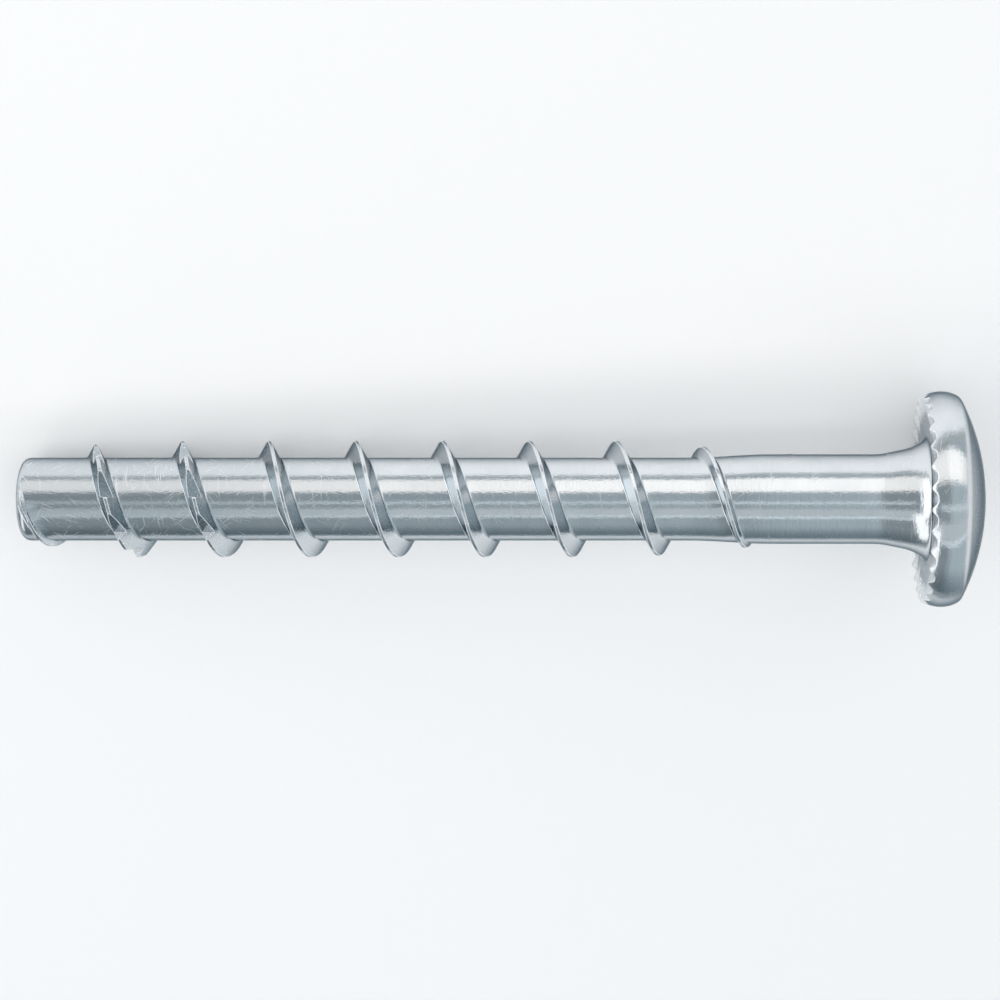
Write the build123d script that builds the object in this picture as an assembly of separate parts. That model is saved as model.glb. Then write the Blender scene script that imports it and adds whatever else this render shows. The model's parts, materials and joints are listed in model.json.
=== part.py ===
from build123d import *
import os
from math import acos, atan, atan2, ceil, cos, degrees, floor, radians, sin, sqrt, tan

# The screw is shaped along +X: x = 0 is the tip's end face and the head is at the far end.
# An angle round the axis is counted from +Y towards +Z, and a right-hand thread climbs with it.
# All lengths are millimetres and all angles degrees.

# Length and turned diameters
length_under_head = 60.0    # tip to the points of the teeth under the head
core_diameter = 5.55        # between the thread's turns
shank_diameter = 6.0        # plain length below the head
tip_rounding = 0.5          # of the end's edge, made by two narrow bevels
plain_shank_length = 7.3    # from the swell to the neck
swell_length = 5.4          # core growing to shank

# Neck: a slow cone, a steeper flare and a small bevel into the head
neck_cone_length = 1.55
neck_cone_growth = 0.31     # in radius
neck_flare_length = 1.32
neck_flare_growth = 0.56    # in radius
neck_bevel = 0.22

# Head
head_diameter = 14.44       # at the widest part of the barrelled rim
head_edge_drop = 0.22       # how far the rim's edge circle below lies inside the widest one
head_top_drop = 0.32        # the same at the dome's foot
rim_height = 2.15
head_height = 3.9           # bearing ring to the top of the dome
rim_edge_bevel = 0.25

# Teeth under the head
tooth_count = 30
tooth_height = 0.37         # at the rim, fading to nothing inwards
tooth_reach = 1.5           # inwards from the rim
tooth_inset = 0.03          # of the outer ends inside the rim's edge
tooth_tip_width = 0.2
tooth_foot_width = 0.95

# Hexalobular drive recess
drive_width = 5.6           # across the lobes
drive_waist = 3.95          # across the flutes
drive_lobe_radius = 0.451
drive_depth = 2.2           # straight part, from the top of the dome
drive_point_depth = 0.6     # cone at its bottom

# Thread
thread_diameter = 7.75
thread_pitch = 5.81
thread_start = 4.76         # from the tip, where a full turn's crest crosses the +Y side
crest_width = 0.2
flank_angle = 26.5          # of each flank from the radial direction
lead_in_start = -0.44       # where the crest line leaves the core
lead_in_slope = 0.1655      # crest radius gained for each millimetre of length
run_out_start = 41.3        # where the crest starts to sink
run_out_length = 9.7

# Cutting notches in the first turns of the crest
notch_count = 13
notch_spacing = 45.0
notch_first = -47.0         # angle of the first notch's step
notch_span = 28.0           # length of the ramp
notch_floor_diameter = 6.6  # at the foot of the step
resting_notch = 8           # the notch that faces down when the screw lies on a table

# How far a hidden end of one form runs into the next one, and the spans of a thread line in a turn
sunk = 0.15
rail_spans = 12

# Radii and stations along the axis
core_radius = core_diameter / 2
shank_radius = shank_diameter / 2
crest_radius = thread_diameter / 2
seat_x = length_under_head + tooth_height
neck_top_x = seat_x - neck_bevel
flare_x = neck_top_x - neck_flare_length
neck_x = flare_x - neck_cone_length
swell_end_x = neck_x - plain_shank_length
swell_start_x = swell_end_x - swell_length
head_radius = head_diameter / 2
bearing_radius = head_radius - head_edge_drop
dome_foot_radius = head_radius - head_top_drop
dome_foot_x = seat_x + rim_height
head_top_x = seat_x + head_height
neck_top_radius = shank_radius + neck_cone_growth + neck_flare_growth


def turned_blank():
    """The tip, core, swell, shank, neck, rim and dome as one turned profile."""
    cone_end = (flare_x, shank_radius + neck_cone_growth)
    neck_end = (neck_top_x, neck_top_radius)
    tip_middle = tip_rounding * (1 - sqrt(0.5))
    with BuildPart() as blank:
        with BuildSketch(Plane.XY) as profile:
            with BuildLine():
                Polyline(
                    (0, 0),
                    (0, core_radius - tip_rounding),
                    (tip_middle, core_radius - tip_middle),
                    (tip_rounding, core_radius),
                    (swell_start_x, core_radius),
                    (swell_end_x, shank_radius),
                    (neck_x, shank_radius),
                    cone_end,
                )
                TangentArc(cone_end, neck_end, tangent=(neck_cone_length, neck_cone_growth))
                Polyline(neck_end, (seat_x, neck_top_radius + neck_bevel), (seat_x, bearing_radius))
                ThreePointArc(
                    (seat_x, bearing_radius),
                    ((seat_x + dome_foot_x) / 2, head_radius),
                    (dome_foot_x, dome_foot_radius),
                )
                RadiusArc((dome_foot_x, dome_foot_radius), (head_top_x, 0), dome_radius())
                Line((head_top_x, 0), (0, 0))
            make_face()
            rim_edge = profile.vertices().sort_by_distance((dome_foot_x, dome_foot_radius, 0))[0]
            chamfer(rim_edge, rim_edge_bevel)
        revolve(axis=Axis.X)
    return blank.part


def dome_radius():
    """Radius of the sphere that passes through the dome's foot circle and its top."""
    rise = head_top_x - dome_foot_x
    return (dome_foot_radius**2 + rise**2) / (2 * rise)


def shaft_radius(x):
    """Radius of the turned shaft under the thread."""
    grown = min(1.0, max(0.0, (x - swell_start_x) / swell_length))
    return core_radius + grown * (shank_radius - core_radius)


def crest_x(angle):
    """Place of the crest line along the axis at an angle round it."""
    return thread_start + thread_pitch * angle / 360


def crest_height(angle):
    """Radius of the crest line: it climbs at the tip, stays full and sinks at the shank."""
    x = crest_x(angle)
    climbing = core_radius + lead_in_slope * (x - lead_in_start)
    sinking = crest_radius - (x - run_out_start) * (crest_radius - shank_radius) / run_out_length
    return min(crest_radius, climbing, sinking)


def rib_section(angle):
    """Corners of the thread rib's section, as pairs of offset along the axis and radius."""
    top = crest_height(angle)
    base = min(shaft_radius(crest_x(angle)), top) - sunk
    crest_half = crest_width / 2
    base_half = crest_half + (top - base) * tan(radians(flank_angle))
    return [(-base_half, base), (-crest_half, top), (crest_half, top), (base_half, base)]


def rib_corner(angle, corner):
    """One corner of the rib's section in space."""
    offset, radius = rib_section(angle)[corner]
    turn = radians(angle)
    return Vector(crest_x(angle) + offset, radius * cos(turn), radius * sin(turn))


def rib_rail(first, last, corner):
    """The line that one corner of the section follows between two angles."""
    evenly = [step / rail_spans for step in range(rail_spans + 1)]
    points = [rib_corner(first + (last - first) * share, corner) for share in evenly]
    ends = [
        (rib_corner(angle + 0.5, corner) - rib_corner(angle - 0.5, corner)) * (last - first)
        for angle in (first, last)
    ]
    return Edge.make_spline(points, tangents=ends, parameters=evenly, scale=False)


def thread_rib():
    """The helical rib, turn by turn: ruled faces between the rails of its section."""
    run_out_slope = (crest_radius - shank_radius) / run_out_length
    first = (lead_in_start - sunk / lead_in_slope - thread_start) / thread_pitch
    last = (run_out_start + run_out_length + sunk / 2 / run_out_slope - thread_start) / thread_pitch
    turns = [first, *range(floor(first) + 1, ceil(last)), last]
    marks = [360 * turn for turn in turns]
    corners = range(len(rib_section(0)))
    faces = []
    for start, end in zip(marks, marks[1:]):
        rails = [rib_rail(start, end, corner) for corner in corners]
        faces += [Face.make_surface_from_curves(rails[corner - 1], rails[corner]) for corner in corners]
    for angle in (marks[0], marks[-1]):
        faces.append(Face(Wire.make_polygon([rib_corner(angle, corner) for corner in corners])))
    return Solid(Shell(faces))


def notch_cutter(step_angle):
    """A notch: a ramp that sinks along the crest and ends at an abrupt step."""
    ramp_angle = step_angle - notch_span
    beyond = crest_radius + sunk
    corners = [
        (crest_height(ramp_angle), ramp_angle),
        (notch_floor_diameter / 2, step_angle),
        (beyond, step_angle),
        (beyond / cos(radians(notch_span / 2)), ramp_angle + notch_span / 2),
        (beyond, ramp_angle),
    ]
    outline = [Vector(0, r * cos(radians(a)), r * sin(radians(a))) for r, a in corners]
    width = thread_pitch / 2
    place = Location((crest_x(step_angle - notch_span / 2) - width / 2, 0, 0))
    return place * extrude(Face(Wire.make_polygon(outline)), amount=width, dir=(1, 0, 0))


def head_teeth():
    """Radial teeth under the head, each a ridge that rises towards the rim."""
    slope = atan(tooth_height / tooth_reach)
    foot_half = tooth_foot_width / 2
    tip_half = tooth_tip_width / 2
    buried_half = foot_half + (foot_half - tip_half)
    section = [
        Vector(-tooth_height, -tip_half),
        Vector(-tooth_height, tip_half),
        Vector(tooth_height, buried_half),
        Vector(tooth_height, -buried_half),
    ]
    outer_y = sqrt(bearing_radius**2 - foot_half**2) - tooth_inset
    outer = Plane(origin=(seat_x, outer_y, 0), x_dir=(1, 0, 0), z_dir=(0, -1, 0))
    ridge = outer * Face(Wire.make_polygon(section))
    tooth = extrude(ridge, amount=tooth_reach + tooth_height, dir=(sin(slope), -cos(slope), 0))
    return [Rot(X=360 * index / tooth_count) * tooth for index in range(tooth_count)]


def drive_recess():
    """Six lobes joined by six flutes, straight down to a shallow cone."""
    lobe_centre = drive_width / 2 - drive_lobe_radius
    half_lobe = cos(radians(30))
    flute_radius = (
        drive_lobe_radius**2 - drive_waist**2 / 4 - lobe_centre**2 + lobe_centre * drive_waist * half_lobe
    ) / (drive_waist - 2 * lobe_centre * half_lobe - 2 * drive_lobe_radius)
    flute_centre = drive_waist / 2 + flute_radius
    touch = flute_radius / (flute_radius + drive_lobe_radius)

    def at(radius, angle):
        return Vector(radius * cos(radians(angle)), radius * sin(radians(angle)))

    edges = []
    for index in range(6):
        lobe, flute, next_lobe = 60 * index, 60 * index + 30, 60 * index + 60
        before = at(flute_centre, lobe - 30)
        entry = before + (at(lobe_centre, lobe) - before) * touch
        after = at(flute_centre, flute)
        leave = after + (at(lobe_centre, lobe) - after) * touch
        enter_next = after + (at(lobe_centre, next_lobe) - after) * touch
        edges.append(Edge.make_three_point_arc(entry, at(drive_width / 2, lobe), leave))
        edges.append(Edge.make_three_point_arc(leave, at(drive_waist / 2, flute), enter_next))
    plan = Plane(origin=(head_top_x - drive_depth, 0, 0), x_dir=(0, 1, 0), z_dir=(1, 0, 0))
    walls = extrude(plan * Face(Wire(edges)), amount=drive_depth + sunk)
    point = Cone(0, drive_waist / 2, drive_point_depth, align=(Align.CENTER, Align.CENTER, Align.MAX))
    return walls + plan * point


def screw_along_x():
    """The whole screw along its own axis."""
    beyond_tip = Box(
        thread_pitch, thread_diameter, thread_diameter, align=(Align.MAX, Align.CENTER, Align.CENTER)
    )
    notches = [notch_cutter(notch_first + notch_spacing * index) for index in range(notch_count)]
    body = turned_blank() + (thread_rib() - beyond_tip) - notches
    return body + head_teeth() - drive_recess()


def resting_place(screw):
    """Where the screw lies: on its rim, the crest before one notch and the crest a turn nearer the tip."""
    step_angle = notch_first + notch_spacing * resting_notch
    rim_x = (seat_x + dome_foot_x) / 2
    angles = (step_angle - notch_span, step_angle - 360)
    reaches = [rim_x - crest_x(angle) for angle in angles]
    feet = [
        Vector(cos(radians(angle)), sin(radians(angle))) * crest_height(angle) for angle in angles
    ]
    across = feet[0] * reaches[1] - feet[1] * reaches[0]
    rim_share = head_radius * (reaches[1] - reaches[0]) / across.length
    down = atan2(across.Y, across.X) + acos(rim_share)
    drop = head_radius - feet[0].dot(Vector(cos(down), sin(down)))
    lying = Rot(Y=-degrees(atan2(drop, reaches[0]))) * Rot(X=270 - degrees(down))
    box = (lying * screw).bounding_box()
    return Pos(-box.center().X, -box.center().Y, -box.min.Z) * lying


os.makedirs("parts", exist_ok=True)
straight = screw_along_x()
place = resting_place(straight)
concrete_screw = place * straight
export_step(concrete_screw, "parts/concrete_screw.step")
size = concrete_screw.bounding_box().size
print(f"concrete_screw: {size.X:.2f} x {size.Y:.2f} x {size.Z:.2f} mm, {concrete_screw.volume:.0f} mm3")
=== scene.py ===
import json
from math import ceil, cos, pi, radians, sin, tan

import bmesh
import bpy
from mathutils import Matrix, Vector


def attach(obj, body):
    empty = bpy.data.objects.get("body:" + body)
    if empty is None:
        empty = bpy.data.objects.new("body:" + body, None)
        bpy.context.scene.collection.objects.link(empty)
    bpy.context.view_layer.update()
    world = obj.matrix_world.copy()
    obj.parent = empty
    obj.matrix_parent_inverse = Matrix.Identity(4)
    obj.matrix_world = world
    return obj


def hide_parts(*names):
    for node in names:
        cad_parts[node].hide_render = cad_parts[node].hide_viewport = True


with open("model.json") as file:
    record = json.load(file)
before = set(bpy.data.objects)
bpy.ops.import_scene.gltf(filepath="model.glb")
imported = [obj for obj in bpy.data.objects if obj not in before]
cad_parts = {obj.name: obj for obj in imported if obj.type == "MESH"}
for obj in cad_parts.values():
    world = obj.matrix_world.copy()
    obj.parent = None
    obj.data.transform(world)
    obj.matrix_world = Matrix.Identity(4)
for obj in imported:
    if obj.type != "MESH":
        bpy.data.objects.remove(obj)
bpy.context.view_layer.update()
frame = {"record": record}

# %% [markdown]
# # A concrete screw in bright zinc
#
# A concrete screw cuts its own thread into a drilled hole. It is one piece of steel: a blank with a
# pressed head, a coarse thread rolled round it, notches in the first turns of the crest, and a thin
# coat of bluish zinc. Here it lies on a white table and the camera looks down on it. It rests on its
# rim, on the crest before one notch and on the crest a turn nearer the tip.

mm = 0.001

# %% [markdown]
# ## The screw's own axes
#
# The frame says where three things are: the middle of the tip, the top of the head and a point of the
# bearing face. They could be typed in again as a turn and a shift, but read from the frame they follow
# the solid model when it changes. The screw is then shaped in millimetres along its own axis and put
# in its place at the end by one matrix. An angle round the axis is counted from the side that is up in
# the picture, towards the camera.

# %% Axes and place
mounts = {mount["name"]: mount for mount in frame["record"]["mounts"]}
tip = Vector(mounts["thread"]["pos_m"])
along = Vector(mounts["drive_socket"]["axis"])
seat_point = Vector(mounts["bearing_face"]["pos_m"]) - tip
seat_point_angle = radians(96)

outward = (seat_point - seat_point.project(along)).normalized()
upward = Matrix.Rotation(-seat_point_angle, 3, along) @ outward
facing = along.cross(upward)
place = (
    Matrix.Translation(tip)
    @ Matrix((along, upward, facing)).transposed().to_4x4()
    @ Matrix.Scale(mm, 4)
)
seat = seat_point.dot(along) / mm
head_top = (Vector(mounts["drive_socket"]["pos_m"]) - tip).length / mm
print("bearing face and top of the head from the tip, mm:", round(seat, 2), round(head_top, 2))

# %% [markdown]
# ## Node trees written as Python
#
# Both the shape and the finish are sums of small formulas. They could be wired node by node, which is
# hard to read, so one small class wraps a number socket: Python's operators then add the Math nodes.
# Every other node comes from one method, which sets the node up first and feeds its sockets after.


# %% A number in a node tree
class Number:
    """A number socket that Python's own operators work on: each adds a Math node."""

    def __init__(self, net, socket):
        self.net, self.socket = net, socket

    def __add__(self, other):
        return self.net.math("ADD", self, other)

    def __sub__(self, other):
        return self.net.math("SUBTRACT", self, other)

    def __rsub__(self, other):
        return self.net.math("SUBTRACT", other, self)

    def __mul__(self, other):
        return self.net.math("MULTIPLY", self, other)

    def __truediv__(self, other):
        return self.net.math("DIVIDE", self, other)

    def __rtruediv__(self, other):
        return self.net.math("DIVIDE", other, self)

    def __mod__(self, other):
        return self.net.math("FLOORED_MODULO", self, other)

    __radd__, __rmul__ = __add__, __mul__


# %% A node tree
class Net:
    """A node tree that is filled from Python."""

    def __init__(self, tree):
        self.tree = tree

    def node(self, kind, settings=None, inputs=None):
        """Adds a node: first its settings, then the values or links of its sockets."""
        node = self.tree.nodes.new(kind)
        for name, value in (settings or {}).items():
            if name == "choices":
                while len(node.index_switch_items) < value:
                    node.index_switch_items.new()
            else:
                setattr(node, name, value)
        for key, value in (inputs or {}).items():
            source = value.socket if isinstance(value, Number) else value
            if isinstance(source, bpy.types.NodeSocket):
                self.tree.links.new(source, node.inputs[key])
            else:
                node.inputs[key].default_value = source
        return node

    def number(self, kind, settings=None, inputs=None, output=0):
        """The number that a new node gives."""
        return Number(self, self.node(kind, settings, inputs).outputs[output])

    def math(self, operation, *values):
        return self.number("ShaderNodeMath", {"operation": operation}, dict(enumerate(values)))


# %% Plain words for the other kinds of maths
def least(first, *others):
    for other in others:
        first = first.net.math("MINIMUM", first, other)
    return first


def most(first, other):
    return first.net.math("MAXIMUM", first, other)


def limited(value, low=0, high=1):
    return least(most(value, low), high)


def soft_least(first, other, softness):
    return first.net.math("SMOOTH_MIN", first, other, softness)


def soft_most(first, other, softness):
    return first.net.math("SMOOTH_MAX", first, other, softness)


def magnitude(value):
    return value.net.math("ABSOLUTE", value)


def whole(value):
    return value.net.math("FLOOR", value)


def root(value):
    return value.net.math("SQRT", most(value, 0))


def above(value, edge):
    return value.net.math("GREATER_THAN", value, edge)


def below(value, edge):
    return value.net.math("LESS_THAN", value, edge)


def sine(degrees):
    return degrees.net.math("SINE", degrees * (pi / 180))


def cosine(degrees):
    return degrees.net.math("COSINE", degrees * (pi / 180))


def eased(value):
    """Runs from 0 to 1 with the value, flat at both ends."""
    share = limited(value)
    return share * share * (3 - 2 * share)


def blend(share, first, other):
    return first + (other - first) * share


def pick(index, values):
    """One of several values, by its place in the list."""
    inputs = {"Index": index} | {str(spot): value for spot, value in enumerate(values)}
    settings = {"data_type": "FLOAT", "choices": len(values)}
    return index.net.number("GeometryNodeIndexSwitch", settings, inputs)


# %% [markdown]
# ## Baking a tree
#
# A Geometry Nodes tree lives in a modifier. Its inputs are given by the identifier of each socket
# before the object is looked at for the first time. The finished mesh is then taken out as a plain one
# and the modifier goes away with its object, so nothing stays live.


# %% From a tree to a plain mesh
def geometry_tree(name, sizes, build):
    """A Geometry Nodes tree with one named input for each size, filled by the build function."""
    tree = bpy.data.node_groups.new(name, "GeometryNodeTree")
    tree.interface.new_socket("Geometry", in_out="OUTPUT", socket_type="NodeSocketGeometry")
    for size_name in sizes:
        tree.interface.new_socket(size_name, in_out="INPUT", socket_type="NodeSocketFloat")
    tree.interface.new_socket("Finish", in_out="INPUT", socket_type="NodeSocketMaterial")
    net = Net(tree)
    given = net.node("NodeGroupInput")
    parts = build(net, {size_name: Number(net, given.outputs[size_name]) for size_name in sizes})
    joined = net.node("GeometryNodeJoinGeometry")
    for part in reversed(parts):
        tree.links.new(part, joined.inputs[0])
    realized = net.node("GeometryNodeRealizeInstances", {}, {"Geometry": joined.outputs[0]})
    smooth = net.node("GeometryNodeSetShadeSmooth", {}, {"Geometry": realized.outputs[0]})
    finished = net.node(
        "GeometryNodeSetMaterial",
        {},
        {"Geometry": smooth.outputs[0], "Material": given.outputs["Finish"]},
    )
    net.node("NodeGroupOutput", {}, {"Geometry": finished.outputs[0]})
    return tree


def baked(tree, sizes, finish):
    """The plain mesh that a tree makes with these sizes."""
    carrier = bpy.data.objects.new(tree.name, bpy.data.meshes.new(tree.name))
    bpy.context.scene.collection.objects.link(carrier)
    modifier = carrier.modifiers.new(tree.name, "NODES")
    modifier.node_group = tree
    for socket in tree.interface.items_tree:
        if socket.in_out == "INPUT":
            value = finish if socket.name == "Finish" else float(sizes[socket.name])
            modifier[socket.identifier] = value
    graph = bpy.context.evaluated_depsgraph_get()
    mesh = bpy.data.meshes.new_from_object(carrier.evaluated_get(graph))
    bpy.data.objects.remove(carrier)
    print(tree.name, "points:", len(mesh.vertices), "faces:", len(mesh.polygons))
    return mesh


# %% [markdown]
# ## Columns round the axis
#
# Every ring of the screw has the same number of points, so that the patches meet without gaps. Their
# angles aren't even: round the notches two columns are drawn together to make a crisp step, and under
# the head eight columns follow the edges of each tooth. On the plain shank between the two, the
# columns drift from the one spacing to the other, which a round surface doesn't show.

# %% Columns
tooth_count = 30
columns_per_tooth = 8
columns = tooth_count * columns_per_tooth
column_step = 360 / columns
notch_first, notch_spacing, notch_count, notch_span = -47.0, 45.0, 13, 28.0
first_column = notch_first + column_step / 2
squeeze_reach = 3 * column_step
tooth_columns = [-4.6, -3.3, -1.15, -0.45, 0.45, 1.15, 3.3, 4.6]
tooth_heights = [0.0, 0.2, 0.9, 1.0, 1.0, 0.9, 0.2, 0.0]


def squeezed_angle(column):
    """Angle of a column in degrees, with the columns drawn towards each notch's step."""
    even = column * column_step + first_column
    from_step = (even - notch_first + notch_spacing / 2) % notch_spacing - notch_spacing / 2
    return even + from_step * (least(magnitude(from_step) / squeeze_reach, 1) - 1)


def tooth_angle_and_height(column):
    """Angle of a column that follows the teeth, and how much of the tooth's height it has."""
    spacing = 360 / tooth_count
    even = column * column_step + (first_column + spacing / 2)
    tooth = whole(even / spacing)
    spot = whole((even - tooth * spacing) / column_step)
    return tooth * spacing + pick(spot, tooth_columns), pick(spot, tooth_heights)


# %% [markdown]
# ## The threaded shaft
#
# The rolled thread could be a rib swept along a helix and sunk into a rod, but then there is a hard
# line where they cross. On the real screw the metal flows, so here the skin is one strip that winds
# round the axis: each row reaches from the middle of one gap over the crest to the next gap, and the
# strip closes on itself turn by turn. Across the strip the stations crowd where the surface bends.
# Past the two ends of the shaft every point is held at the end, so the strip begins and ends in a
# plain ring.
#
# The notches in the first turns scrape the wall of the hole. Each is a straight ramp that sinks into
# the crest and ends in a step, whose edge is a little worn. They could be cut out with a Boolean, but
# as a formula for the height of the crest they need no cut at all.

# %% Sizes of the shaft, in millimetres and degrees
shaft_sizes = {
    "Core radius": 2.775,
    "Shank radius": 3.0,
    "Crest radius": 3.875,
    "Thread pitch": 5.81,
    "Thread start": 4.76,
    "Crest width": 0.2,
    "Flank steepness": 1 / tan(radians(26.5)),
    "Crest softness": 0.08,
    "Root softness": 0.24,
    "Crest unevenness": 0.02,
    "Lead-in start": -0.44,
    "Lead-in slope": 0.1655,
    "Run-out start": 41.3,
    "Run-out length": 9.7,
    "Swell start": 44.58,
    "Swell length": 5.4,
    "Notch floor radius": 3.22,
    "Notch edge wear": 0.035,
    "Tip rounding": 0.5,
    "Tip end": 0.8,
    "Shank end": 54.2,
    "Rib rise at the tip": 0.45,
    "Seed": 3.0,
}

# %% Smaller details of the thread: lengths in millimetres, spans in degrees, shares of the flank
hair = 0.001
rib_shown_height = 0.15
worn_rib_height = 0.3
marked_notch_depth = 0.05
worn_step_span = 1.2
uneven_span = 23
crest_bend_share, root_bend_share = 0.3, 0.45


# %% The crest along the thread
def crest_line(size, angle):
    """Middle, full radius and notched radius of the crest, and how near an edge of a notch it is."""
    middle = size["Thread start"] + size["Thread pitch"] * angle / 360
    climbing = size["Core radius"] + size["Lead-in slope"] * (middle - size["Lead-in start"])
    fall = (size["Crest radius"] - size["Shank radius"]) / size["Run-out length"]
    sinking = size["Crest radius"] - fall * (middle - size["Run-out start"])
    uneven = angle.net.number(
        "ShaderNodeTexNoise",
        {"noise_dimensions": "1D"},
        {"W": angle / uneven_span + size["Seed"], "Scale": 1.0, "Detail": 3.0},
    )
    full = least(size["Crest radius"], climbing, sinking) + (uneven - 0.5) * size["Crest unevenness"]

    since_step = (angle - notch_first) % notch_spacing
    to_step = notch_spacing - since_step
    floor = size["Notch floor radius"]
    chord = full * sine(notch_span - to_step) + floor * sine(to_step)
    ramp = full * floor * sin(radians(notch_span)) / chord
    last_step = notch_first + notch_spacing * (notch_count - 1)
    cut_here = above(angle, notch_first - notch_span) * below(angle, last_step)
    worn_here = above(angle, notch_first) * below(angle, last_step + notch_span)
    worn = limited(1 - since_step / worn_step_span) * size["Notch edge wear"] * worn_here
    top = full - most(full - ramp, 0) * cut_here - worn
    step_edge = limited(1 - since_step) * worn_here + limited(1 - to_step) * cut_here
    return middle, full, top, step_edge


def shaft_radius(size, x):
    """Radius of the rod under the thread, which swells into the shank."""
    swell = eased((x - size["Swell start"]) / size["Swell length"])
    return blend(swell, size["Core radius"], size["Shank radius"])


def skin_radius(size, x, middle, full, top):
    """Radius of the skin at x: rod, flank or crest, with soft corners between them."""
    offset = magnitude(x - middle)
    flank = full + (size["Crest width"] / 2 - offset) * size["Flank steepness"]
    rib = soft_least(top, flank, size["Crest softness"])
    return soft_most(shaft_radius(size, x), rib, size["Root softness"])


# %% Stations across the rib
def half_stations(size, middle, full, top):
    """Distances from the crest line of the strip's points, the corner's distance and its bend."""
    half_pitch = size["Thread pitch"] / 2
    steepness = size["Flank steepness"]
    height = most(full - shaft_radius(size, middle), 0)
    foot = size["Crest width"] / 2 + height / steepness
    corner = least(size["Crest width"] / 2 + (full - top) / steepness, foot)
    bend = least(size["Crest softness"] / steepness, (foot - corner) * crest_bend_share)
    fillet = least(size["Root softness"] / steepness, (foot - corner) * root_bend_share)
    gap = half_pitch - foot - fillet
    places = [corner * 0]
    places += [corner + bend * share for share in (-1, -0.5, 0, 0.5, 1)]
    places += [(corner + bend + foot - fillet) / 2]
    places += [foot + fillet * share for share in (-1, -0.6, -0.2, 0.2, 0.6, 1)]
    places += [foot + fillet + gap * share for share in (0.3, 0.65, 1)]
    even = [half_pitch * (spot / (len(places) - 1)) for spot in range(len(places))]
    risen = eased(height / rib_shown_height)
    return [blend(risen, plain, shaped) for plain, shaped in zip(even, places)], corner, bend


def shaft_parts(net, size):
    """The wound strip, as one grid whose points are set by the formulas."""
    half_count = 15
    stations = 2 * half_count + 1
    reach = shaft_sizes["Thread pitch"] / 2 + shaft_sizes["Tip end"]
    before = ceil((shaft_sizes["Thread start"] + reach) / shaft_sizes["Thread pitch"] * columns)
    beyond = shaft_sizes["Shank end"] + reach - shaft_sizes["Thread start"]
    rows = before + ceil(beyond / shaft_sizes["Thread pitch"] * columns)
    grid = net.node("GeometryNodeMeshGrid", {}, {"Vertices X": rows + 1, "Vertices Y": stations})
    index = net.number("GeometryNodeInputIndex")
    row = whole((index + 0.5) / stations)
    station = index - row * stations - half_count
    angle = squeezed_angle(row - before)
    middle, full, top, step_edge = crest_line(size, angle)
    places, corner, bend = half_stations(size, middle, full, top)
    offset = pick(magnitude(station), places) * net.math("SIGN", station)
    x = least(most(middle + offset, size["Tip end"]), size["Shank end"])
    radius = skin_radius(size, x, middle, full, top)
    on_top = below(magnitude(offset), corner + hair)
    corner_edge = limited(1 - magnitude(magnitude(offset) - corner) / most(bend, hair))
    rib_height = full - shaft_radius(size, middle)
    # worn crest and step edges: painted lighter, partly as wear and partly as a painted highlight
    edge = limited(corner_edge + step_edge * on_top) * eased(rib_height / worn_rib_height)
    # painted shade: marks the notch floors, which the finish paints greyer
    notch = eased((full - top - marked_notch_depth) / marked_notch_depth) * on_top
    return [placed(net, grid, x, radius, angle, edge, notch)]


def placed(net, grid, x, radius, angle, edge=0.0, notch=0.0):
    """A grid with each point at its place round the axis, with marks of worn edges, partly painted
    highlight, and of notch floors in painted shade.
    """
    spot = net.node(
        "ShaderNodeCombineXYZ", {}, {"X": x, "Y": radius * cosine(angle), "Z": radius * sine(angle)}
    )
    moved = net.node(
        "GeometryNodeSetPosition", {}, {"Geometry": grid.outputs["Mesh"], "Position": spot.outputs[0]}
    )
    skin = moved.outputs[0]
    for mark, value in (("worn_edge", edge), ("notch_face", notch)):
        marked = net.node(
            "GeometryNodeStoreNamedAttribute",
            {"data_type": "FLOAT", "domain": "POINT"},
            {"Geometry": skin, "Name": mark, "Value": value},
        )
        skin = marked.outputs[0]
    return skin


# %% [markdown]
# ## The turned bands
#
# Tip, neck, head and drive recess are rings of one profile. They could be spun from a drawn line, but
# the teeth, the start of the thread and the six lobes of the recess change with the angle, so each
# stretch of the profile is a band: a grid whose length runs along the profile and whose width runs
# round the axis, with a formula for each.


# %% One band
def band(net, rings, shape):
    """A patch round the whole axis, made of rings of points.

    The shape takes a share from 0 to 1 along the profile, and a column round the axis. It gives x,
    radius and angle, and on rubbed faces the mark of a worn edge too.
    """
    grid = net.node("GeometryNodeMeshGrid", {}, {"Vertices X": columns + 1, "Vertices Y": rings + 1})
    index = net.number("GeometryNodeInputIndex")
    column = whole((index + 0.5) / (rings + 1))
    share = (index - column * (rings + 1)) / rings
    return placed(net, grid, *shape(share, column))


def curve(share, start, corner, end):
    """A smooth bend from start to end that leaves towards the corner and arrives from it."""
    left = 1 - share
    return left * left * start + left * share * 2 * corner + share * share * end


# %% The tip
def tip_parts(net, size):
    """The cut end of the blank, its rounded edge and the first piece of the core."""
    rounding = size["Tip rounding"]
    flat = size["Core radius"] - rounding

    def surface(x, plain, column):
        angle = squeezed_angle(column)
        middle, full, top, _ = crest_line(size, angle % 360 - 360)
        rib = skin_radius(size, x, middle, full, top) - shaft_radius(size, x)
        return x, plain + rib * eased(x / size["Rib rise at the tip"]), angle

    def end_face(share, column):
        return surface(share * 0, flat * share, column)

    def edge(share, column):
        return surface(
            rounding * (1 - cosine(share * 90)), flat + rounding * sine(share * 90), column
        )

    def core(share, column):
        return surface(blend(share, rounding, size["Tip end"]), size["Core radius"], column)

    return [band(net, 6, end_face), band(net, 12, edge), band(net, 4, core)]


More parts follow.
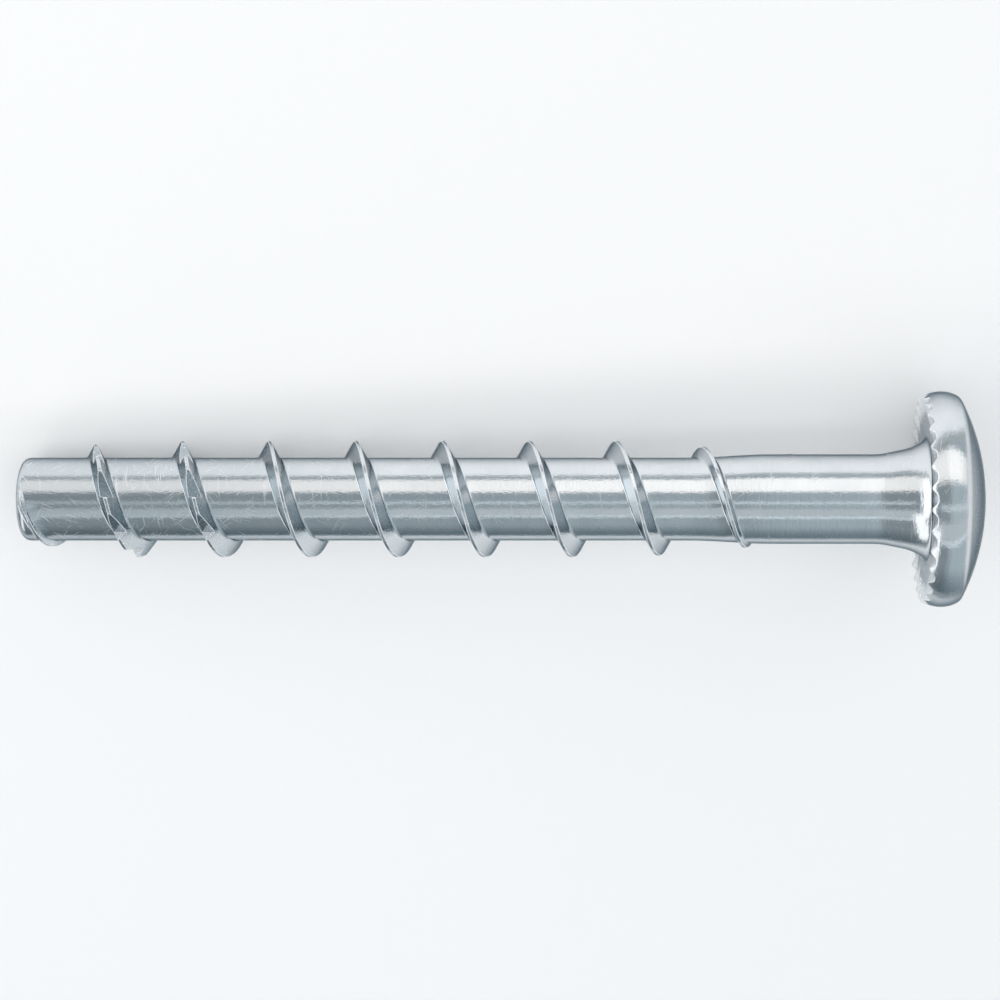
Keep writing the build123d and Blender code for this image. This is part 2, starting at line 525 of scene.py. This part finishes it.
# %% [markdown]
# ## The neck and the head
#
# The neck widens towards the head, so that the head doesn't snap off: a slow cone, a steeper flare and
# a small fillet. Under the head, teeth bite into the part that the screw holds down. They could be
# wedges joined to the ring, which would leave seams, so the columns follow the teeth's edges and the
# teeth are a formula too. The rim bulges as a pressed head does, and the dome is a piece of a ball.
#
# The drive recess can't be seen in the photograph. It is given six lobes, as heads of this size
# commonly have, and no Boolean cuts it: the bands go on over its mouth, down its walls and across its
# floor. The lobes are joined by six round flutes that touch them. The flutes' size follows from the
# lobes and from the width between opposite flutes, so it is worked out before the other sizes.

# %% Lobes and flutes of the drive recess, in millimetres
lobe_circle, lobe_radius, waist = 2.349, 0.451, 3.95
flute_radius = (
    lobe_radius**2 - waist**2 / 4 - lobe_circle**2 + lobe_circle * waist * cos(radians(30))
) / (waist - 2 * lobe_circle * cos(radians(30)) - 2 * lobe_radius)
flute_circle = waist / 2 + flute_radius
meeting = Vector((flute_circle * cos(radians(30)), flute_circle * sin(radians(30))))
meeting += (Vector((lobe_circle, 0)) - meeting) * flute_radius / (flute_radius + lobe_radius)
touch_angle = 180 / pi * Vector((1, 0)).angle(meeting)
print("flute radius, mm:", round(flute_radius, 3), "lobes and flutes touch at", round(touch_angle, 1))

# %% Sizes of the neck and head, in millimetres
neck_bevel, flare_length, cone_length = 0.22, 1.32, 1.55
flare_start = seat - neck_bevel - flare_length
head_sizes = {
    "Shank radius": shaft_sizes["Shank radius"],
    "Shank end": shaft_sizes["Shank end"],
    "Neck lead": 0.6,
    "Neck start": flare_start - cone_length,
    "Neck slope": 0.2,
    "Neck softness": 0.1,
    "Flare start": flare_start,
    "Flare length": flare_length,
    "Flare curve": 0.17,
    "Fillet width": 0.143,
    "Fillet foot": 0.16,
    "Seat": seat,
    "Head top": head_top,
    "Rim height": 2.15,
    "Rim lead": 0.15,
    "Rim slope": 0.05,
    "Rim barrel": 0.27,
    "Widest radius": 7.22,
    "Dome foot radius": 6.9,
    "Tooth height": 0.34,
    "Tooth reach": 1.5,
    "Edge softness": 0.06,
    "Dome edge softness": 0.2,
    "Land radius": 3.3,
    "Lobe circle": lobe_circle,
    "Lobe radius": lobe_radius,
    "Flute radius": flute_radius,
    "Flute circle": flute_circle,
    "Drive depth": 2.2,
    "Drive point": 0.6,
    "Mouth softness": 0.12,
}

# %% [markdown]
# Screws rub each other when they tumble, most of all on the ring under the head, on the teeth and on
# the teeth's ends. Those scatter light more than the rest and are painted lighter, partly as wear and
# partly as a painted highlight on faces that would mirror the shadowed table; each of their bands
# carries a mark of how much.

# %% Marks of rubbed faces with painted highlight, from 0 to 1
ring_wear_highlight, tooth_face_wear_highlight, tooth_end_wear_highlight = 0.5, 0.65, 0.8


# %% Outline of the recess
def recess_radius(size, angle):
    """Radius of the recess's outline at an angle in degrees."""
    from_lobe = magnitude((angle + 30) % 60 - 30)
    across = size["Lobe circle"] * sine(from_lobe)
    lobe = size["Lobe circle"] * cosine(from_lobe) + root(
        size["Lobe radius"] * size["Lobe radius"] - across * across
    )
    from_flute = 30 - from_lobe
    across = size["Flute circle"] * sine(from_flute)
    flute = size["Flute circle"] * cosine(from_flute) - root(
        size["Flute radius"] * size["Flute radius"] - across * across
    )
    return blend(above(from_lobe, touch_angle), lobe, flute)


# %% Profile of the rim and the dome
def rim_radius(size, x):
    """Radius of the barrelled rim at x."""
    half = size["Rim height"] / 2
    spot = (x - size["Seat"] - half) / half
    return size["Widest radius"] - spot * size["Rim slope"] - spot * spot * size["Rim barrel"]


def dome_x(size, radius):
    """Place along the axis of the dome at a radius."""
    rise = size["Head top"] - size["Seat"] - size["Rim height"]
    ball = (size["Dome foot radius"] * size["Dome foot radius"] + rise * rise) / (rise * 2)
    return size["Head top"] - ball + root(ball * ball - radius * radius)


# %% Neck, bearing ring and teeth
def neck_parts(net, size):
    """From the plain shank over the neck to the bearing ring."""

    def neck_radius(x):
        slope = (x - size["Neck start"]) * size["Neck slope"]
        cone = soft_most(slope, 0, size["Neck softness"])
        flare = most(x - size["Flare start"], 0)
        return size["Shank radius"] + cone + flare * flare * size["Flare curve"]

    straight_end_x = size["Neck start"] - size["Neck lead"]
    neck_end_x = size["Flare start"] + size["Flare length"]
    neck_end_radius = neck_radius(neck_end_x)
    bent_radius = neck_end_radius + size["Fillet width"]
    ring_start_radius = bent_radius + size["Fillet foot"]

    def shank(share, column):
        x = blend(share, size["Shank end"], straight_end_x)
        angle = blend(eased(share), squeezed_angle(column), tooth_angle_and_height(column)[0])
        return x, size["Shank radius"], angle

    def neck(share, column):
        x = blend(share, straight_end_x, neck_end_x)
        return x, neck_radius(x), tooth_angle_and_height(column)[0]

    def fillet(share, column):
        x = curve(share, neck_end_x, size["Seat"], size["Seat"])
        radius = curve(share, neck_end_radius, bent_radius, ring_start_radius)
        return x, radius, tooth_angle_and_height(column)[0]

    def bearing(share, column):
        ring_end_radius = rim_radius(size, size["Seat"]) - size["Tooth reach"]
        radius = blend(share, ring_start_radius, ring_end_radius)
        return size["Seat"], radius, tooth_angle_and_height(column)[0], ring_wear_highlight

    return [band(net, 8, shank), band(net, 18, neck), band(net, 7, fillet), band(net, 3, bearing)]


def tooth_parts(net, size):
    """The teeth under the rim and their rounded outer ends."""
    soft = size["Edge softness"]

    def outer(column):
        angle, height = tooth_angle_and_height(column)
        return angle, size["Seat"] - size["Tooth height"] * height

    def ridge(share, column):
        angle, outer_x = outer(column)
        inner = rim_radius(size, size["Seat"]) - size["Tooth reach"]
        radius = blend(share, inner, rim_radius(size, outer_x) - soft)
        return blend(share, size["Seat"], outer_x), radius, angle, tooth_face_wear_highlight

    def outer_edge(share, column):
        angle, outer_x = outer(column)
        corner = rim_radius(size, outer_x)
        radius = curve(share, corner - soft, corner, rim_radius(size, outer_x + soft))
        return curve(share, outer_x, outer_x, outer_x + soft), radius, angle, tooth_end_wear_highlight

    def outer_end(share, column):
        angle, outer_x = outer(column)
        x = blend(share, outer_x + soft, size["Seat"] + size["Rim lead"])
        return x, rim_radius(size, x), angle

    return [band(net, 6, ridge), band(net, 4, outer_edge), band(net, 3, outer_end)]


# %% Rim, dome and recess
def head_parts(net, size):
    """The barrelled rim, the rounded edge and the dome down to the mouth of the recess."""
    soft = size["Dome edge softness"]
    foot_x = size["Seat"] + size["Rim height"]
    foot_radius = size["Dome foot radius"]

    def rim(share, column):
        x = blend(share, size["Seat"] + size["Rim lead"], foot_x - soft)
        return x, rim_radius(size, x), tooth_angle_and_height(column)[0]

    def dome_edge(share, column):
        inner = foot_radius - soft
        x = curve(share, foot_x - soft, foot_x, dome_x(size, inner))
        radius = curve(share, rim_radius(size, foot_x - soft), foot_radius, inner)
        return x, radius, tooth_angle_and_height(column)[0]

    def dome(share, column):
        radius = blend(share, foot_radius - soft, size["Land radius"])
        return dome_x(size, radius), radius, tooth_angle_and_height(column)[0]

    return [band(net, 12, rim), band(net, 8, dome_edge), band(net, 9, dome)]


def recess_parts(net, size):
    """The six-lobed recess with its soft mouth, straight walls and shallow point."""
    soft = size["Mouth softness"]
    floor_x = size["Head top"] - size["Drive depth"]

    def mouth_land(share, column):
        angle = tooth_angle_and_height(column)[0]
        radius = blend(share, size["Land radius"], recess_radius(size, angle) + soft)
        return dome_x(size, radius), radius, angle

    def mouth(share, column):
        angle = tooth_angle_and_height(column)[0]
        wall = recess_radius(size, angle)
        start = dome_x(size, wall + soft)
        return curve(share, start, start, start - soft), curve(share, wall + soft, wall, wall), angle

    def wall(share, column):
        angle = tooth_angle_and_height(column)[0]
        outline = recess_radius(size, angle)
        return blend(share, dome_x(size, outline + soft) - soft, floor_x), outline, angle

    def floor(share, column):
        angle = tooth_angle_and_height(column)[0]
        radius = recess_radius(size, angle) * (1 - share)
        return floor_x - size["Drive point"] * share, radius, angle

    return [band(net, 4, mouth_land), band(net, 4, mouth), band(net, 5, wall), band(net, 5, floor)]


# %% [markdown]
# ## The finish: bright bluish zinc
#
# Bright zinc is a smooth mirror with a cool tint, so most of what is seen is the room. What makes it
# real is what breaks the mirror: fine streaks left by rolling and turning, an orange-peel grain,
# cloudy patches where the bath was thin, short scratches, and edges rubbed bright, which are partly a
# painted highlight. It could be painted on an image, but noise has no seams and stays sharp near the
# camera. All of it is laid in millimetres along the screw's own axis, so a Mapping node first undoes
# the screw's place. A Mapping node set to Texture divides by its scale, so each noise is simply given
# the length of its grains.


# %% Patterns in the screw's own millimetres
def screw_coordinates(net):
    """Object coordinates turned into millimetres along and across the screw."""
    turned = place.to_euler()
    source = net.node("ShaderNodeTexCoord").outputs["Object"]
    mapping = net.node(
        "ShaderNodeMapping",
        {"vector_type": "TEXTURE"},
        {"Vector": source, "Location": tip, "Rotation": turned, "Scale": (mm, mm, mm)},
    )
    return mapping.outputs[0]


def noise(net, where, lengths, turn=0.0, detail=2.0):
    """Noise whose grains have these lengths in millimetres along three axes, turned round the third."""
    measured = net.node(
        "ShaderNodeMapping",
        {"vector_type": "TEXTURE"},
        {"Vector": where, "Rotation": (0, 0, radians(turn)), "Scale": lengths},
    )
    return net.number(
        "ShaderNodeTexNoise", {}, {"Vector": measured.outputs[0], "Scale": 1.0, "Detail": detail}
    )


def tint(net, share, first, other):
    """A colour between two, by a share. Each of the two may be plain or come from a socket."""
    first, other = [(*shade, 1) if isinstance(shade, tuple) else shade for shade in (first, other)]
    mixed = net.node("ShaderNodeMix", {"data_type": "RGBA"}, {"Factor": share, 6: first, 7: other})
    return mixed.outputs[2]


# %% [markdown]
# Screws are plated in a turning drum, where they scratch each other in every direction. In plain
# coordinates the round skin would cut long grains of noise across and show dots on its lower side. So
# the place is unrolled first: along the screw, round it, and out from its axis. Long thin grains are
# turned in five directions there, and only their crests are kept as lines. A second, slow noise lets
# the lines come in loose groups, as they do on a real screw.

# %% Scratches: directions in degrees with widths in millimetres, and lengths counted in widths
scratch_directions = ((35, 0.1), (-25, 0.112), (66, 0.09), (-52, 0.106), (5, 0.123))
scratch_length, scratch_rarity, scratch_sharpness = 17, 0.71, 14
group_size, group_strength = 2, 0.25
more_at_tip = 0.024


def unrolled(net, along_axis, up, near):
    """A place counted along the screw, round it and out from its axis, in millimetres."""
    shank_radius = shaft_sizes["Shank radius"]
    around = net.math("ARCTAN2", up, near) * shank_radius
    out = root(up * up + near * near)
    return net.node("ShaderNodeCombineXYZ", {}, {"X": along_axis, "Y": around, "Z": out}).outputs[0]


def scratches(net, where, more):
    """Short thin lines in a few directions, 1 on a line and 0 between them, and more where asked."""
    found = None
    for turn, width in scratch_directions:
        line = noise(net, where, (width, width * scratch_length, width), turn, 1.0)
        group = noise(net, where, (group_size,) * 3, turn, 0.0)
        crest = line + group * group_strength - group_strength / 2
        line = limited((crest + more - scratch_rarity) * scratch_sharpness)
        found = line if found is None else most(found, line)
    return found


# %% [markdown]
# The first turns of the thread are hardened after rolling, so that they can cut, and come out duller
# and more scratched than the rest; they are also painted greyer, as shade for the darker reflections
# towards the tip. The floors of the notches are painted greyer still, as shade in the notches. Rubbed
# edges are lighter, partly as wear and partly as a painted highlight, and they also scatter light as a
# matt surface does: Metallic drops there, which is why the notches and the teeth have white outlines.
# Two marks on the mesh say where those edges and floors are.

# %% Colours of the zinc with its painted shade and highlight, and where the shaded hardened part and the plain shank begin and end
cool_zinc, pale_zinc = (0.76, 0.80, 0.825), (0.84, 0.87, 0.89)
hardened_shade_grey, notch_shade_grey, rubbed_white_highlight = (0.58, 0.63, 0.66), (0.40, 0.46, 0.50), (0.90, 0.92, 0.94)
hardened_shade_start, hardened_shade_fade = 5, 24
plain_start, plain_fade = 43, 6


def zinc_colour(net, clouds, rings, grain, lines, edge, notch, hardened_and_shaded):
    """Cloudy bluish white, greyed by painted shade in the first turns and the notches, and lighter where
    rubbed, partly as a painted highlight.
    """
    patches = limited(clouds * 2.2 - 0.6 + (rings - 0.5) * 0.9 - hardened_and_shaded * 0.3)
    plated = tint(net, patches, cool_zinc, pale_zinc)
    # painted shade: the first turns are greyed, over their duller, more scratched zinc
    greyed = tint(net, hardened_and_shaded * (0.35 + clouds * 0.5), plated, hardened_shade_grey)
    # painted shade in the notches: their floors are greyed
    notch_shaded = tint(net, notch * (0.45 + grain * 0.5), greyed, notch_shade_grey)
    # lighter where scratched or rubbed: wear, and on the edges partly a painted highlight
    rubbed_and_highlit = limited(lines * (0.5 + hardened_and_shaded * 0.4) + edge * (0.35 + grain * 0.9))
    return tint(net, rubbed_and_highlit, notch_shaded, rubbed_white_highlight)


def zinc_height(net, where, from_tip, grain, rings):
    """Height of the skin in millimetres: streaks left by rolling and turning, grain and fine rings."""
    turned = noise(net, where, (0.16, 0.8, 0.8), detail=3.0)
    rolled = noise(net, where, (0.4, 0.12, 0.12), detail=3.0)
    plain = eased((from_tip - plain_start) / plain_fade)
    streaks = blend(plain, rolled * 0.0065 + turned * 0.002, rolled * 0.003 + turned * 0.009)
    return streaks + grain * 0.005 + rings * 0.0012


# %% [markdown]
# A metal in the Principled shader turns white where it is seen at a slant. Specular Tint darkens it
# there: the dark slate paints shade onto the dome, the steep flanks of the thread and the rod's
# outlines, where the metal would otherwise mirror the white table.

# %% The zinc
# painted shade: a dark slate tint that darkens the metal wherever it is seen at a slant
painted_edge_shade = (0.18, 0.23, 0.26, 1)


def bright_zinc(name):
    """Bluish zinc over rolled steel."""
    material = bpy.data.materials.new(name)
    material.use_nodes = True
    net = Net(material.node_tree)
    shader = net.tree.nodes["Principled BSDF"]
    shader.inputs["Specular Tint"].default_value = painted_edge_shade
    where = screw_coordinates(net)
    apart = net.node("ShaderNodeSeparateXYZ", {}, {0: where})
    from_tip, up, near = [Number(net, socket) for socket in apart.outputs]
    clouds = noise(net, where, (2.2, 2.2, 2.2), detail=4.0)
    grain = noise(net, where, (0.14, 0.14, 0.14), detail=3.0)
    rings = noise(net, where, (0.11, 1.39, 1.39))
    edge = net.number("ShaderNodeAttribute", {"attribute_name": "worn_edge"}, {}, "Fac")
    notch = net.number("ShaderNodeAttribute", {"attribute_name": "notch_face"}, {}, "Fac")
    # 1 in the first turns, which are duller and more scratched and also carry painted shade
    hardened_and_shaded = 1 - eased((from_tip - hardened_shade_start) / hardened_shade_fade)
    lines = scratches(net, unrolled(net, from_tip, up, near), hardened_and_shaded * more_at_tip)

    colour = zinc_colour(net, clouds, rings, grain, lines, edge, notch, hardened_and_shaded)
    metallic = 1 - edge * (0.45 + grain * 0.6)
    rough = 0.08 + grain * 0.07 + clouds * 0.05 + lines * 0.15 + hardened_and_shaded * 0.05
    height = zinc_height(net, where, from_tip, grain, rings)
    bump = net.node("ShaderNodeBump", {}, {"Height": height, "Distance": mm, "Strength": 1.0})
    net.tree.links.new(colour, shader.inputs["Base Color"])
    net.tree.links.new(metallic.socket, shader.inputs["Metallic"])
    net.tree.links.new(rough.socket, shader.inputs["Roughness"])
    net.tree.links.new(bump.outputs[0], shader.inputs["Normal"])
    return material


zinc = bright_zinc("zinc_plated_steel")
print("finish:", zinc.name, "with", len(zinc.node_tree.nodes), "nodes")

# %% [markdown]
# ## Making the screw
#
# Each group of bands is baked, the meshes are joined, and points that lie on each other are merged.
# What comes out is one closed skin, which the printed line checks: no open edge, and a volume above
# zero, which says that the faces point outwards.

# %% Bake, join and merge
shaft_meshes = [
    baked(geometry_tree("Threaded shaft", shaft_sizes, shaft_parts), shaft_sizes, zinc),
    baked(geometry_tree("Tip", shaft_sizes, tip_parts), shaft_sizes, zinc),
]
head_meshes = [
    baked(geometry_tree(name, head_sizes, build), head_sizes, zinc)
    for name, build in (
        ("Neck", neck_parts),
        ("Teeth", tooth_parts),
        ("Rim and dome", head_parts),
        ("Recess", recess_parts),
    )
]
skin = bmesh.new()
for mesh in shaft_meshes + head_meshes:
    skin.from_mesh(mesh)
    bpy.data.meshes.remove(mesh)
bmesh.ops.remove_doubles(skin, verts=skin.verts, dist=hair)
open_edges = sum(len(edge.link_faces) != 2 for edge in skin.edges)
print("open edges:", open_edges, "volume, mm3:", round(skin.calc_volume(signed=True), 1))

# %% The piece
sharpest_smooth_bend = radians(42)
screw_mesh = bpy.data.meshes.new("concrete_screw_skin")
skin.to_mesh(screw_mesh)
skin.free()
screw_mesh.transform(place)
screw_mesh.materials.append(zinc)
screw_mesh.set_sharp_from_angle(angle=sharpest_smooth_bend)
screw = bpy.data.objects.new("concrete_screw_skin", screw_mesh)
bpy.context.scene.collection.objects.link(screw)
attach(screw, "root")
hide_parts("concrete_screw")
print("triangles:", sum(len(face.vertices) - 2 for face in screw_mesh.polygons))

# %% [markdown]
# ## The camera
#
# The photograph is taken from nearby: the camera stands square to the screw's axis, over a point about
# two thirds of the way to the head, and the view is shifted so that the whole screw is in the frame.

# %% Camera
camera_distance = 167.5 * mm
camera_foot = 40.6 * mm
frame_width = 67.0 * mm
middle_of_frame = 31.86 * mm
frame_drop = 0.0603 * mm
sensor_width = 36
camera_data = bpy.data.cameras.new("camera")
camera_data.sensor_width = sensor_width
camera_data.lens = sensor_width * camera_distance / frame_width
camera_data.shift_x = (middle_of_frame - camera_foot) / frame_width
camera_data.shift_y = -frame_drop / frame_width
camera_data.clip_start = 10 * mm
camera = bpy.data.objects.new("camera", camera_data)
bpy.context.scene.collection.objects.link(camera)
below_camera = tip + along * camera_foot
camera.matrix_world = (
    Matrix.Translation(below_camera + facing * camera_distance)
    @ Matrix((along, upward, facing)).transposed().to_4x4()
)
bpy.context.scene.camera = camera
print("camera looks down by", round(90 - facing.angle(Vector((0, 0, 1))) * 180 / pi, 1), "degrees")

# %% [markdown]
# ## Light
#
# A shiny rod shows the room as stripes. A stripe's place on the rod follows from the direction of the
# card that it mirrors: the card stands at twice the angle at which the rod's surface is turned from
# the camera. Flat lamps would give stripes that change their width along the rod, so the cards are
# curved patches of a large ball round the screw, each given by two angles: how far it is turned up in
# the picture, and how far it leans along the screw. Their edges fade. They cast no shadow, since one
# may stand in front of another.


# %% Soft cards
def card(name, colour, turned, leaning, strength, fade, ball=0.42):
    """A glowing patch of a ball, between two turns up the picture and two leans along the screw."""
    steps = 12
    patch = bmesh.new()
    layer = patch.loops.layers.uv.new("card")
    rows = []
    for row in range(steps + 1):
        turn = radians(turned[0] + (turned[1] - turned[0]) * row / steps)
        across = facing * cos(turn) + upward * sin(turn)
        points = []
        for spot in range(steps + 1):
            lean = radians(leaning[0] + (leaning[1] - leaning[0]) * spot / steps)
            direction = across * cos(lean) + along * sin(lean)
            points.append(patch.verts.new(below_camera + direction * ball))
        rows.append(points)
    for row in range(steps):
        for spot in range(steps):
            corners = ((row, spot), (row + 1, spot), (row + 1, spot + 1), (row, spot + 1))
            face = patch.faces.new([rows[side][end] for side, end in corners])
            for loop, (side, end) in zip(face.loops, corners):
                loop[layer].uv = (side / steps, end / steps)
    mesh = bpy.data.meshes.new(name)
    patch.to_mesh(mesh)
    patch.free()
    mesh.materials.append(glow(name, colour, strength, fade))
    shown = bpy.data.objects.new(name, mesh)
    shown.visible_camera = False
    shown.visible_shadow = False
    bpy.context.scene.collection.objects.link(shown)
    return shown


# %% The light of a card, whose two ends fade over this share of its length
end_fade = 0.15


def glow(name, colour, strength, fade):
    """Light that fades towards the ends of its card and, by the given share, towards its sides."""
    material = bpy.data.materials.new(name)
    material.use_nodes = True
    net = Net(material.node_tree)
    net.tree.nodes.clear()
    where = net.node("ShaderNodeSeparateXYZ", {}, {0: net.node("ShaderNodeUVMap").outputs[0]})
    across = Number(net, where.outputs[0])
    length = Number(net, where.outputs[1])
    level = eased(least(across, 1 - across) / fade) * eased(least(length, 1 - length) / end_fade)
    light = net.node("ShaderNodeEmission", {}, {"Color": (*colour, 1), "Strength": strength})
    clear = net.node("ShaderNodeBsdfTransparent")
    mixed = net.node(
        "ShaderNodeMixShader", {}, {0: level, 1: clear.outputs[0], 2: light.outputs[0]}
    )
    net.node("ShaderNodeOutputMaterial", {}, {"Surface": mixed.outputs[0]})
    return material


# %% [markdown]
# The key cards make the broad white band of the rod, the fill and line cards the thin lines below it,
# and the cards at the two ends light the flanks of the thread, the flare and the rim. The dome is seen
# at a slant and mirrors a place right beside the head, so it has a small card of its own there, which
# lights nothing else.

# %% Where the cards stand: turned and leaning in degrees, strength, fade, and the ball's radius in metres
bright, cool, warm = (0.97, 0.985, 1.0), (0.87, 0.95, 1.0), (1.0, 0.98, 0.965)
card("key_card", warm, (17, 57), (-8, 42), 1.16, 0.1)
card("key_back_card", warm, (17, 57), (-68, 64), 0.98, 0.1, 0.44)
card("fill_card", cool, (-46, -24), (-40, 64), 0.58, 0.15)
card("line_card", cool, (-52, -45), (-40, 64), 0.95, 0.35)
card("top_line_card", cool, (-14, -6), (-40, 64), 0.85, 0.4)
card("tip_side_card", bright, (-60, 76), (-80, -42), 1.45, 0.12, 0.40)
card("tip_low_card", bright, (-112, -30), (-50, -24), 1.25, 0.15, 0.39)
card("tip_end_card", bright, (-180, 180), (-96, -70), 0.7, 0.002, 0.41)
card("head_side_card", bright, (-110, 80), (74, 95), 1.6, 0.1, 0.40)
dome_card = card("dome_card", bright, (-180, 180), (66, 94), 0.8, 0.002, 0.0285)
dome_card.visible_diffuse = False

# %% [markdown]
# The cards alone leave the table grey and bluish. More light from them would change the stripes on the
# metal, so a broad, slightly warm lamp hangs over the table instead, and no metal mirrors it. Because
# it is broad, the screw's shadow is soft.

# %% The lamp over the table
lamp_data = bpy.data.lights.new("table_lamp", "AREA")
lamp_data.shape = "RECTANGLE"
lamp_data.size, lamp_data.size_y = 1.0, 0.75
lamp_data.energy = 2.75
lamp_data.color = (1.0, 0.95, 0.925)
lamp = bpy.data.objects.new("table_lamp", lamp_data)
lamp.location = (0, 0.03, 0.45)
lamp.visible_glossy = False
lamp.visible_camera = False
bpy.context.scene.collection.objects.link(lamp)

# %% [markdown]
# Between the cards the room is a calm slate grey, the colour of the dark stripes. It darkens towards
# the lower side of the picture and towards the tip.

# %% The room
calm_slate, low_slate = (0.38, 0.44, 0.475), (0.13, 0.18, 0.21)
room_level, room_slope, dimmest, lightest = 0.89, 1.45, 0.62, 1.08
low_start, low_fade = 0.7, 0.4
low_turn = radians(-118)
low_side = facing * cos(low_turn) + upward * sin(low_turn)
world = bpy.data.worlds.new("room")
world.use_nodes = True
room = Net(world.node_tree)
room_direction = room.node("ShaderNodeTexCoord").outputs["Generated"]


def room_toward(direction):
    """How far the seen direction of the room points in the given one, from -1 to 1."""
    settings = {"operation": "DOT_PRODUCT"}
    inputs = {0: room_direction, 1: tuple(direction)}
    return room.number("ShaderNodeVectorMath", settings, inputs, "Value")


side_share = eased((room_toward(low_side) - low_start) / low_fade)
room_colour = tint(room, side_share, calm_slate, low_slate)
tip_shade = limited(room_toward(along) * room_slope + room_level, dimmest, lightest)
room.tree.links.new(tip_shade.socket, room.tree.nodes["Background"].inputs["Strength"])
room.tree.links.new(room_colour, room.tree.nodes["Background"].inputs["Color"])
bpy.context.scene.world = world

# %% [markdown]
# ## The table
#
# The table is matt white. It could glow in pure white for the camera, but then the screw would float,
# so nearly all its brightness is light that falls on it, and the soft shadow under the screw stays. A
# very weak glow lifts it, for the camera and for the metal that mirrors it. Round the screw the white is
# a painted pool of light; some way off, the table is painted grey as shade, in the grey of the room.

# %% Table: middle and half sizes of its painted pool of light and how far it fades, in millimetres
pool_middle, pool_half, pool_fade = (-6, -8), (46, 42), (12, 30)
pool_white, painted_shade_grey = (0.92, 0.92, 0.92), (0.40, 0.44, 0.46)
table_glow = 0.02
table_half = 1.2


def table_with_painted_pool(name):
    """Matt white that glows very little, in a painted pool of light that turns to painted grey shade away
    from the screw.
    """
    material = bpy.data.materials.new(name)
    material.use_nodes = True
    net = Net(material.node_tree)
    net.tree.nodes.clear()
    where = net.node(
        "ShaderNodeSeparateXYZ", {}, {0: net.node("ShaderNodeTexCoord").outputs["Object"]}
    )
    # near: 1 in the painted pool of light round the screw, 0 in the painted grey shade beyond
    near = 1
    for side, (middle, half, fade) in enumerate(zip(pool_middle, pool_half, pool_fade)):
        from_middle = magnitude(Number(net, where.outputs[side]) / mm - middle)
        near = near * (1 - eased((from_middle - half) / fade))
    pool_paint = tint(net, near, painted_shade_grey, pool_white)
    matt = net.node("ShaderNodeBsdfDiffuse", {}, {"Color": pool_paint})
    path = net.node("ShaderNodeLightPath")
    rays = [Number(net, path.outputs[f"Is {kind} Ray"]) for kind in ("Camera", "Glossy", "Transmission")]
    seen = limited(rays[0] + rays[1] + rays[2])
    glowing = net.node("ShaderNodeEmission", {}, {"Strength": seen * near * table_glow})
    both = net.node("ShaderNodeAddShader", {}, {0: matt.outputs[0], 1: glowing.outputs[0]})
    net.node("ShaderNodeOutputMaterial", {}, {"Surface": both.outputs[0]})
    return material


table_corners = [(x * table_half, y * table_half, 0) for x, y in ((-1, -1), (1, -1), (1, 1), (-1, 1))]
table_mesh = bpy.data.meshes.new("table")
table_mesh.from_pydata(table_corners, [], [(0, 1, 2, 3)])
table_mesh.materials.append(table_with_painted_pool("table_with_painted_pool"))
table = bpy.data.objects.new("table", table_mesh)
bpy.context.scene.collection.objects.link(table)

# %% Colours as they are
bpy.context.scene.view_settings.view_transform = "Standard"
